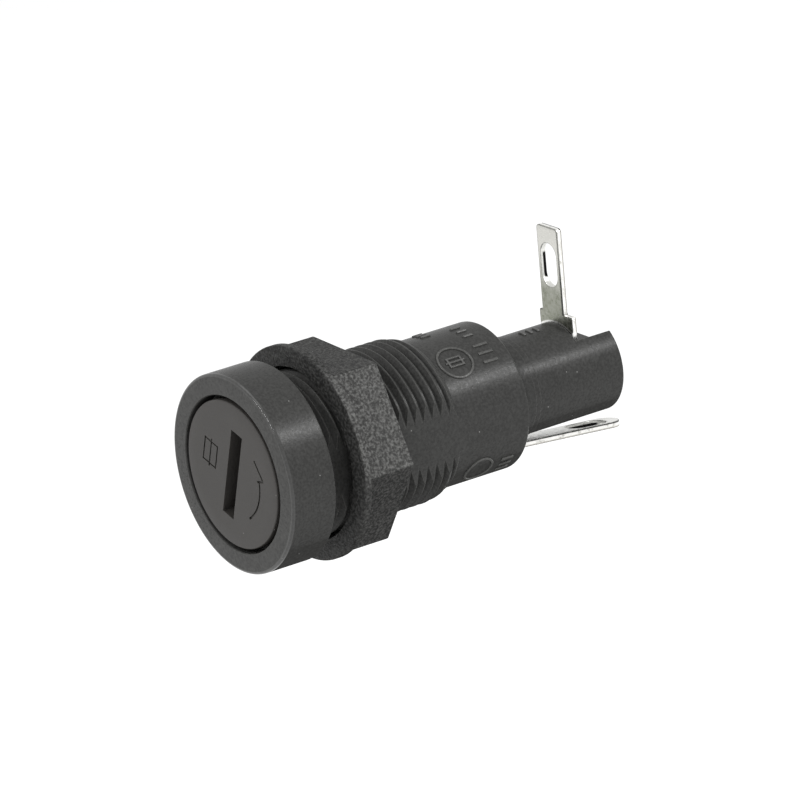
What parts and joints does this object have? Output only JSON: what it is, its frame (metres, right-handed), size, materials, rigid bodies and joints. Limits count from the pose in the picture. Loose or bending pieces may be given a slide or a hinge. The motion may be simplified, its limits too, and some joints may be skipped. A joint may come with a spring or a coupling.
{
  "type": "cartridge fuse holder",
  "caption": "Round panel-mount holder for a small glass cartridge fuse: flanged threaded body with hexagon nut, slotted bayonet carrier, sprung rear contact and two solder tags.",
  "frame": {"origin": "on the holder's axis, in the flange's rear face, where the panel's front surface lies", "axes": "+Y rearwards along the axis into the panel, +Z towards the upper solder tag, +X to the right seen from the front"},
  "size_m": [0.0156, 0.0328, 0.0186],
  "materials": {
    "body_plastic": "black moulded thermoplastic, satin",
    "cap_plastic": "black moulded thermoplastic, fine matt front face",
    "nut_plastic": "dark grey moulded thermoplastic, coarse matt grain",
    "tinned_brass": "bright tin plating on brass sheet",
    "contact_nickel": "nickel plating on spring brass",
    "fuse_cap_nickel": "bright nickel plating",
    "fuse_glass": "clear glass",
    "fuse_wire": "silvered copper wire",
    "solder": "dull solder",
    "spring_steel": "drawn spring wire"
  },
  "bodies": {
    "holder": {"holder_body": "body_plastic", "rear_terminal": "tinned_brass", "side_terminal": "tinned_brass", "rear_contact_spring": "spring_steel"},
    "nut": {"hex_nut": "nut_plastic"},
    "fuse": {"fuse_tube": "fuse_glass", "fuse_front_cap": "fuse_cap_nickel", "fuse_rear_cap": "fuse_cap_nickel", "fuse_wire": "fuse_wire", "fuse_front_solder": "solder", "fuse_rear_solder": "solder"},
    "carrier": {"carrier_cap": "cap_plastic", "carrier_contact": "contact_nickel"},
    "plunger": {"rear_contact_cup": "contact_nickel"}
  },
  "joints": [
    {"name": "nut_turn", "type": "hinge", "parent": "holder", "child": "nut", "pos_m": [0, 0.00425, 0], "axis": [0, 1, 0], "continuous": true},
    {"name": "carrier_withdraw", "type": "slide", "parent": "holder", "child": "fuse", "axis": [0, -1, 0], "range_m": [0, 0.03]},
    {"name": "carrier_turn", "type": "hinge", "parent": "fuse", "child": "carrier", "pos_m": [0, 0, 0], "axis": [0, 1, 0], "range_deg": [0, 60]},
    {"name": "rear_contact_press", "type": "slide", "parent": "holder", "child": "plunger", "axis": [0, 1, 0], "range_m": [0, 0.0008], "stiffness_N_per_m": 1500, "deforming": ["rear_contact_spring"]}
  ]
}
